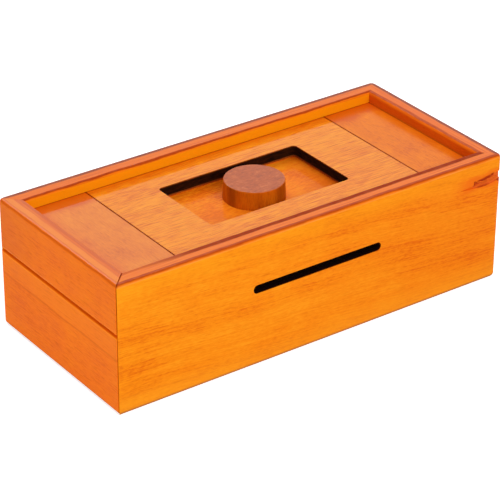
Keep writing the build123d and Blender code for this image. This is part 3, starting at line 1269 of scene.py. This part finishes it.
@dataclass
class Carcass:
    """The four walls, the base, and the boards hidden inside."""

    box: BoxSize
    slot_length: float = 70.0
    slot_height: float = 4.2
    seam_round: float = 2.0
    front_tilt: float = 4.0

    def dress(self) -> None:
        """Finish the walls, the base and the hidden boards."""
        self._dress_front()
        self._dress_rear()
        self._dress_right()
        self._dress_left()
        dress_plain("bottom_board", "plain_base", GrainAxis.LENGTHWAYS, 3.1)
        dress_plain("mid_board", "plain_mid", GrainAxis.LENGTHWAYS, 7.7)
        dress_plain("drawer_stop", "plain_stop", GrainAxis.CROSSWAYS, 1.9)

    def _dress_front(self) -> None:
        """Finish the front wall: rim lines, burnt slot and torn patch."""
        low, high = opening("front_slot")
        lines = (
            RimLine(1.45, 1.25, 0.9, RIM_BROWN, 0.6),
            RimLine(7.3, 2.1, 1.0, RIM_DARK, rise=(-94.0, -55.0)),
            RimLine(7.4, 1.2, 0.5, RIM_BROWN),
        )
        accents = (
            Drift((-60.0, 0.0, 30.0), (120.0, 0.0, 10.0), Tint(249, 233, 225), 1.0, Layer.DEEPEN),
            Drift((0.0, 0.0, 51.0), (0.0, 0.0, 60.0), Tint(255, 166, 20), 0.3),
            PaleFootShadedEdge(),
            PaintedEdgeHighlight(self.box, Side.FRONT),
            Rim(self.box, Side.FRONT, RIM_STAIN, lines),
            MitreStain(self.box),
            ShadedCorner(self.box, Side.FRONT, Side.RIGHT),
            BurntSlot(self.box, (low.z + high.z) / 2, self.slot_length / 2, self.slot_height / 2),
            TornPatch(self.box),
        )
        dress("front_wall", long_wall("front_stain", 11.3, self.front_tilt).make(accents))

    def _dress_rear(self) -> None:
        """Finish the rear wall."""
        lines = (RimLine(1.5, 2.0, 1.0, RIM_EDGE, 0.0), RimLine(8.1, 0.8, 1.0, RIM_BROWN))
        accents = (
            # Painted light: the rear wall's inner face, which looks at the front lamp, is lightened.
            InnerLightAndShade(Side.REAR, Tint(246, 154, 6), 0.85),
            PaleFootShadedEdge(),
            PaintedEdgeHighlight(self.box, Side.REAR),
            Rim(self.box, Side.REAR, RIM_STAIN, lines),
            ShadedCorner(self.box, Side.REAR, Side.RIGHT),
            ShadedCorner(self.box, Side.REAR, Side.LEFT),
        )
        dress("rear_wall", long_wall("rear_stain", 23.9).make(accents))

    def _dress_right(self) -> None:
        """Finish the right end wall."""
        lines = (RimLine(1.4, 1.9, 1.0, RIM_EDGE, 0.0), RimLine(7.5, 1.1, 0.8, RIM_BROWN, 0.7))
        accents = (
            # Painted shade: the right wall's inner face, down in the recess, is darkened.
            InnerLightAndShade(Side.RIGHT, Tint(206, 78, 4), 0.45),
            PaleFootShadedEdge(),
            PaintedEdgeHighlight(self.box, Side.RIGHT),
            Rim(self.box, Side.RIGHT, RIM_STAIN, lines),
            ShadedCorner(self.box, Side.FRONT, Side.RIGHT),
            ShadedCorner(self.box, Side.REAR, Side.RIGHT),
            TornPatch(self.box),
        )
        dress("right_end_wall", end_wall("right_end_stain", 37.4).make(accents))

    def _dress_left(self) -> None:
        """Finish the upper board of the left end."""
        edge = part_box("left_end_upper")[0].z * MM_PER_M
        lines = (
            RimLine(0.45, 0.35, 0.5, RIM_BROWN),
            RimLine(3.7, 1.9, 0.85, RIM_PALE, 0.0),
            RimLine(7.8, 1.3, 0.5, LEFT_RIM_LINE, 0.0),
        )
        accents = (
            Drift((0.0, 5.0, 30.0), (0.0, 48.0, 36.0), Tint(212, 102, 36), 0.4),
            Rim(self.box, Side.LEFT, LEFT_RIM_STAIN, lines, lacquer=0.68, streaks=0.3),
            MitreStain(self.box),
            ShadedCorner(self.box, Side.REAR, Side.LEFT),
            SeamPaintedLight(edge, self.seam_round),
        )
        dress("left_end_upper", end_wall("left_end_stain", 41.8).make(accents))


@dataclass(frozen=True)
class EndPanel:
    """A top board at one end of the box: its wall, its tones and grain, and its sheen."""

    node: str
    side: Side
    tones: Tones
    seed: float
    blotch: float
    lacquer: float
    gloss: float


@dataclass
class TopBoards:
    """The three boards let into the top, the middle one with the window."""

    box: BoxSize
    wall: float = 9.2
    # The next four numbers give the painted shadow and reflection of the rear wall on the end boards (where
    # it is full, how far it fades, how strong it is) and the strength of the painted shade along the other
    # walls' foot.
    shadow_full: float = 7.0
    shadow_fade: float = 6.0
    shadow_strength: float = 0.85
    foot_shade_strength: float = 0.5
    ends: Sequence[EndPanel] = (
        EndPanel("top_panel_left", Side.LEFT, LEFT_PANEL_TONES, 61.7, 0.75, 0.8, 0.06),
        EndPanel("top_panel_right", Side.RIGHT, RIGHT_PANEL_TONES, 67.1, 0.5, 0.45, 0.2),
    )

    def dress(self) -> None:
        """Finish the three boards."""
        self._dress_centre()
        for end in self.ends:
            self._dress_end(end)

    def _dress_centre(self) -> None:
        """Finish the middle board and its window."""
        wood = Wood(
            "centre_panel_stain",
            CENTRE_PANEL_TONES,
            GrainAxis.LENGTHWAYS,
            53.2,
            figure=0.8,
            blotch=0.25,
            fleck=1.1,
            pores=0.6,
            lacquer=0.62,
            gloss=0.06,
            streak_size=(24.0, 0.6),
            fleck_size=(7.0, 0.4),
            pore_size=(16.0, 0.4),
        )
        low, high = opening("window_left")[0], opening("window_right")[1]
        bottom, top = (corner.z * MM_PER_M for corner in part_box("top_panel_centre"))
        wall_shade = PanelShadeAndReflection(self.box, (Side.FRONT, Side.REAR), self.wall)
        seams = [SeamEdge(corner.x * MM_PER_M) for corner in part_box("top_panel_centre")]
        dress("top_panel_centre", wood.make([wall_shade, *seams, BurntWindow(low, high, top, bottom)]))

    def _dress_end(self, end: EndPanel) -> None:
        """Finish the board at one end.

        Args:
            end: The board.
        """
        wood = Wood(
            f"{end.node}_stain",
            end.tones,
            GrainAxis.CROSSWAYS,
            end.seed,
            figure=0.7,
            blotch=end.blotch,
            pores=0.2,
            lacquer=end.lacquer,
            gloss=end.gloss,
            streak_size=(3.5, 0.9),
        )
        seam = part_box(end.node)[1 if end.side is Side.LEFT else 0].x * MM_PER_M
        reach = self.shadow_full + self.shadow_fade
        accents = (
            PanelShadeAndReflection(self.box, (Side.REAR,), self.wall, self.shadow_strength, self.shadow_full, reach),
            PanelShadeAndReflection(self.box, (Side.FRONT, end.side), self.wall, self.foot_shade_strength),
            SeamEdge(seam),
        )
        dress(end.node, wood.make(accents))


@dataclass
class KnobSlider:
    """The knob, the plate that carries it, its pegs and its screw, and the carriage below."""

    # Painted light and shade on the plate: lighter towards the front, away from the shade of the window's
    # rear wall, and darker towards the right end, where the window's dark wall shades it and shows in its
    # reflection.
    plate_painted_light: Sequence[Drift] = (
        Drift((0.0, 20.0, 0.0), (0.0, -20.0, 0.0), Tint(255, 138, 30), 0.5),
        Drift((24.0, 0.0, 0.0), (38.0, 0.0, 0.0), Tint(216, 90, 8), 0.5),
    )
    # Painted shade on the knob's two flanks, so that its middle looks lit.
    knob_flank_shade: Sequence[FlankShade] = (
        FlankShade(-13.2, -0.6, 4.2, 0.6),
        FlankShade(7.5, -11.0, 7.0, 0.5),
    )

    def dress(self) -> None:
        """Finish the sliding pieces."""
        self._dress_plate()
        self._dress_knob()
        dress_plain("lock_peg", "dowel_lock", GrainAxis.UPRIGHT, 2.2)
        dress_plain("guide_peg", "dowel_guide", GrainAxis.UPRIGHT, 5.5)
        dress("knob_screw", PlatedSteel("screw_steel").make())
        dress_plain("carriage", "plain_carriage", GrainAxis.CROSSWAYS, 9.4)

    def _dress_plate(self) -> None:
        """Finish the board that is seen through the window."""
        wood = Wood(
            "plate_stain",
            PLATE_TONES,
            GrainAxis.LENGTHWAYS,
            71.3,
            figure=0.9,
            blotch=1.1,
            fleck=1.1,
            pores=0.3,
            lacquer=0.2,
            gloss=0.12,
        )
        dress("knob_plate", wood.make(self.plate_painted_light))

    def _dress_knob(self) -> None:
        """Finish the turned knob."""
        wood = Wood(
            "knob_stain",
            KNOB_TONES,
            GrainAxis.UPRIGHT,
            83.6,
            figure=0.8,
            blotch=0.2,
            pores=0.25,
            streak_size=(60.0, 3.4),
        )
        dress("knob", wood.make([*self.knob_flank_shade, LacqueredTop()]))


@dataclass
class Drawer:
    """The drawer: its stained face and its plain boards."""

    box: BoxSize
    glue_line_height: float = 27.4
    seam_drop: float = 1.0

    def dress(self) -> None:
        """Finish the drawer's boards."""
        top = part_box("drawer_face")[1].z * MM_PER_M
        accents = (
            ShadedCorner(self.box, Side.REAR, Side.LEFT),
            PaleFootShadedEdge(lift=0.0),
            GlueLine(self.glue_line_height),
            SeamPaintedLight(top, -self.seam_drop),
        )
        dress("drawer_face", end_wall("drawer_face_stain", 91.5).make(accents))
        dress_plain("drawer_floor", "plain_drawer_floor", GrainAxis.LENGTHWAYS, 12.6)
        dress_plain("drawer_side_front", "plain_drawer_front", GrainAxis.LENGTHWAYS, 15.8)
        dress_plain("drawer_side_rear", "plain_drawer_rear", GrainAxis.LENGTHWAYS, 18.3)
        dress_plain("drawer_back", "plain_drawer_back", GrainAxis.CROSSWAYS, 21.9)


@dataclass(frozen=True)
class Sliver:
    """One torn fibre: its root on the front, its size in millimetres, and its tilt and lift in degrees."""

    x: float
    z: float
    length: float
    width: float
    tilt: float
    lift: float


@dataclass
class TornFibres:
    """Fibres that still cling to the torn corner at the right end of the front.

    The root and soft edge of the one fibre that is modelled are shares of its length. Each step of growth
    gives how far the fibre goes on, how far it rises, and the share of its thickness that is left.
    """

    box: BoxSize
    bed: float = 0.42
    thickness: float = 0.22
    root: float = 0.2
    growth: Sequence[Triple] = ((0.25, -0.06, 0.85), (0.3, 0.10, 0.6), (0.25, 0.12, 0.15))
    soft_edge: float = 0.06
    crease: float = 40.0
    slivers: Sequence[Sliver] = (
        Sliver(82.6, 52.7, 7.0, 0.55, 1.5, 1.0),
        Sliver(84.0, 54.0, 5.2, 0.45, -1.0, 0.8),
        Sliver(89.4, 51.6, 8.4, 0.6, 2.0, 1.4),
        Sliver(90.6, 53.1, 6.2, 0.5, -2.5, 1.8),
        Sliver(93.4, 52.2, 7.4, 0.55, 1.0, 1.2),
        Sliver(96.2, 53.5, 5.4, 0.5, -3.0, 1.6),
        Sliver(97.0, 51.7, 5.0, 0.45, 3.0, 1.0),
        Sliver(99.6, 53.0, 3.6, 0.5, -4.0, 2.0),
    )

    def build(self) -> bpy.types.Object:
        """Model one fibre, lay a copy in each place and join them.

        Returns:
            The fibres as one piece.
        """
        master = self._model_one()
        copies = [self._lay_copy(master, sliver) for sliver in self.slivers]
        bpy.data.objects.remove(master)
        bpy.ops.object.select_all(action="DESELECT")
        for copy in copies:
            copy.select_set(True)
        bpy.context.view_layer.objects.active = copies[0]
        bpy.ops.object.join()
        fibres = bpy.context.object
        fibres.name = "torn_fibres"
        bpy.ops.object.shade_smooth_by_angle(angle=math.radians(self.crease))
        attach(fibres, "carcass")
        log.info("torn_fibres: %d fibres on the front's right end", len(self.slivers))
        return fibres

    def dress(self, fibres: bpy.types.Object) -> None:
        """Give the fibres the bare, reddish colour of the torn wood.

        Args:
            fibres: The fibres as one piece.
        """
        axis = GrainAxis.LENGTHWAYS
        wood = Wood("torn_fibre_wood", TORN_TONES, axis, 47.9, roughness=0.75, streak_size=(24.0, 0.3))
        fibres.data.materials.clear()
        fibres.data.materials.append(wood.make())

    def _model_one(self) -> bpy.types.Object:
        """Model a fibre of unit length along X, split and tapering to a thin tip.

        Returns:
            The fibre, with its root at the origin.
        """
        bpy.ops.object.select_all(action="DESELECT")
        bpy.ops.mesh.primitive_cube_add(size=1.0, location=(self.root / 2, 0.0, 0.0))
        fibre = bpy.context.object
        fibre.scale = (self.root, 1.0, 1.0)
        bpy.ops.object.transform_apply(location=True, rotation=False, scale=True)
        for reach, rise, share in self.growth:
            self._select_tip(fibre)
            bpy.ops.mesh.extrude_region_move(TRANSFORM_OT_translate={"value": (reach, rise, rise * 2)})
            bpy.ops.transform.resize(value=(1.0, share, share))
            bpy.ops.object.mode_set(mode="OBJECT")
        bevel = fibre.modifiers.new("soft_edges", "BEVEL")
        bevel.width = self.soft_edge
        bevel.segments = 2
        bpy.ops.object.modifier_apply(modifier=bevel.name)
        return fibre

    @staticmethod
    def _select_tip(fibre: bpy.types.Object) -> None:
        """Enter edit mode with only the end face selected.

        Args:
            fibre: The fibre, which is the active object.
        """
        bpy.ops.object.mode_set(mode="EDIT")
        bpy.ops.mesh.select_mode(type="FACE")
        bpy.ops.mesh.select_all(action="DESELECT")
        bpy.ops.object.mode_set(mode="OBJECT")
        tip = max(fibre.data.polygons, key=lambda face: face.center.x + face.normal.x)
        tip.select = True
        bpy.ops.object.mode_set(mode="EDIT")

    def _lay_copy(self, master: bpy.types.Object, sliver: Sliver) -> bpy.types.Object:
        """Lay a copy of the fibre in the chip.

        Args:
            master: The modelled fibre.
            sliver: Where the copy goes and its size.

        Returns:
            The copy, with its place in its mesh.
        """
        mesh = master.data.copy()
        size = Matrix.Diagonal((sliver.length, self.thickness, sliver.width, 1.0))
        tilt = Matrix.Rotation(math.radians(-sliver.tilt), 4, "Y")
        lift = Matrix.Rotation(math.radians(-sliver.lift), 4, "Z")
        root = Vector((sliver.x, self.bed - self.box.half_width, sliver.z))
        mesh.transform(Matrix.Scale(1.0 / MM_PER_M, 4) @ Matrix.Translation(root) @ tilt @ lift @ size)
        copy = bpy.data.objects.new("torn_fibre", mesh)
        bpy.context.scene.collection.objects.link(copy)
        return copy


@dataclass(frozen=True)
class Lamp:
    """A soft rectangular lamp: its place, its sides and what it looks at in metres, and its power."""

    name: str
    place: Triple
    width: float
    height: float
    power: float
    target: Triple = (0.0, 0.0, 0.031)

    def hang(self) -> None:
        """Make the lamp and turn it to what it looks at."""
        data = bpy.data.lights.new(self.name, "AREA")
        data.shape = "RECTANGLE"
        data.size = self.width
        data.size_y = self.height
        data.energy = self.power
        lamp = bpy.data.objects.new(self.name, data)
        lamp.location = self.place
        away = Vector(self.place) - Vector(self.target)
        lamp.rotation_euler = away.to_track_quat("Z", "Y").to_euler()
        lamp.visible_camera = False
        bpy.context.scene.collection.objects.link(lamp)


@dataclass
class Studio:
    """White floor, white surround, soft lamps and the photograph's camera."""

    azimuth: float = -35.9176
    elevation: float = 29.069
    roll: float = 0.341
    eye: Triple = (-0.566283, -0.778562, 0.560535)
    lens: float = 174.204
    clip_start: float = 0.01
    floor_side: float = 6.0
    floor_grey: float = 0.8
    floor_glow: float = 0.72
    ambient: float = 0.42
    lamps: Sequence[Lamp] = (
        Lamp("front_softbox", (0.06, -1.24, 1.04), 1.1, 1.1, 14.6),
        Lamp("rear_softbox", (0.16, 0.88, 1.36), 1.2, 1.2, 8.5),
        Lamp("left_card", (-0.55, 0.0, 0.045), 0.5, 0.08, 0.7),
    )

    def build(self) -> None:
        """Set up the floor, the light and the camera."""
        self._lay_floor()
        self._light()
        self._set_camera()
        bpy.context.scene.view_settings.view_transform = "Standard"

    @staticmethod
    def _seen(graph: Graph) -> Socket:
        """Find the rays that show the surroundings: from the camera, in gloss and through glass.

        Args:
            graph: The floor's or the world's graph.

        Returns:
            1 for those rays, 0 for the rest.
        """
        path = graph.node("ShaderNodeLightPath", {}, {})
        camera, glossy, through = (
            Socket(graph, path.outputs[name])
            for name in ("Is Camera Ray", "Is Glossy Ray", "Is Transmission Ray")
        )
        return camera.larger(glossy).larger(through)

    def _lay_floor(self) -> None:
        """Lay a pale floor that shows white and keeps the box's shadow."""
        bpy.ops.mesh.primitive_plane_add(size=self.floor_side)
        floor = bpy.context.object
        floor.name = "floor"
        material, graph = start_material("floor_paper")
        paper = graph.output("ShaderNodeBsdfDiffuse", {}, {"Color": (*even(self.floor_grey), 1.0)})
        glow = graph.output("ShaderNodeEmission", {}, {"Color": WHITE, "Strength": self.floor_glow})
        lit = graph.output("ShaderNodeAddShader", {}, {0: paper, 1: glow})
        mixed = graph.output("ShaderNodeMixShader", {}, {0: self._seen(graph), 1: paper, 2: lit})
        graph.node("ShaderNodeOutputMaterial", {}, {"Surface": mixed})
        floor.data.materials.append(material)
        floor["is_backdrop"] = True

    def _light(self) -> None:
        """Make the white surround and hang the lamps."""
        world = bpy.data.worlds.new("white_surround")
        world.use_nodes = True
        graph = Graph(world.node_tree)
        soft = graph.output("ShaderNodeBackground", {}, {"Color": WHITE, "Strength": self.ambient})
        white = graph.output("ShaderNodeBackground", {}, {"Color": WHITE, "Strength": 1.0})
        mixed = graph.output("ShaderNodeMixShader", {}, {0: self._seen(graph), 1: soft, 2: white})
        graph.node("ShaderNodeOutputWorld", {}, {"Surface": mixed})
        bpy.context.scene.world = world
        for lamp in self.lamps:
            lamp.hang()

    def _set_camera(self) -> None:
        """Stand the camera where the photograph was taken."""
        turn, rise, roll = (math.radians(angle) for angle in (self.azimuth, self.elevation, self.roll))
        back = Vector((math.sin(turn) * math.cos(rise), -math.cos(turn) * math.cos(rise), math.sin(rise)))
        right = Vector((0.0, 0.0, 1.0)).cross(back).normalized()
        up = back.cross(right)
        across = right * math.cos(roll) + up * math.sin(roll)
        upward = up * math.cos(roll) - right * math.sin(roll)
        data = bpy.data.cameras.new("photo_camera")
        data.lens = self.lens
        data.clip_start = self.clip_start
        camera = bpy.data.objects.new("photo_camera", data)
        bpy.context.scene.collection.objects.link(camera)
        turned = Matrix((across, upward, back)).transposed().to_4x4()
        camera.matrix_world = Matrix.Translation(Vector(self.eye)) @ turned
        bpy.context.scene.camera = camera


def main() -> None:
    """Measure the box's sizes, dress the box and build the studio."""
    logging.basicConfig(level=logging.INFO)
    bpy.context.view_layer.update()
    box = BoxSize.measure()
    Carcass(box).dress()
    torn_fibres = TornFibres(box)
    torn_fibres.dress(torn_fibres.build())
    TopBoards(box).dress()
    KnobSlider().dress()
    Drawer(box).dress()
    Studio().build()


if __name__ == "__main__":
    main()
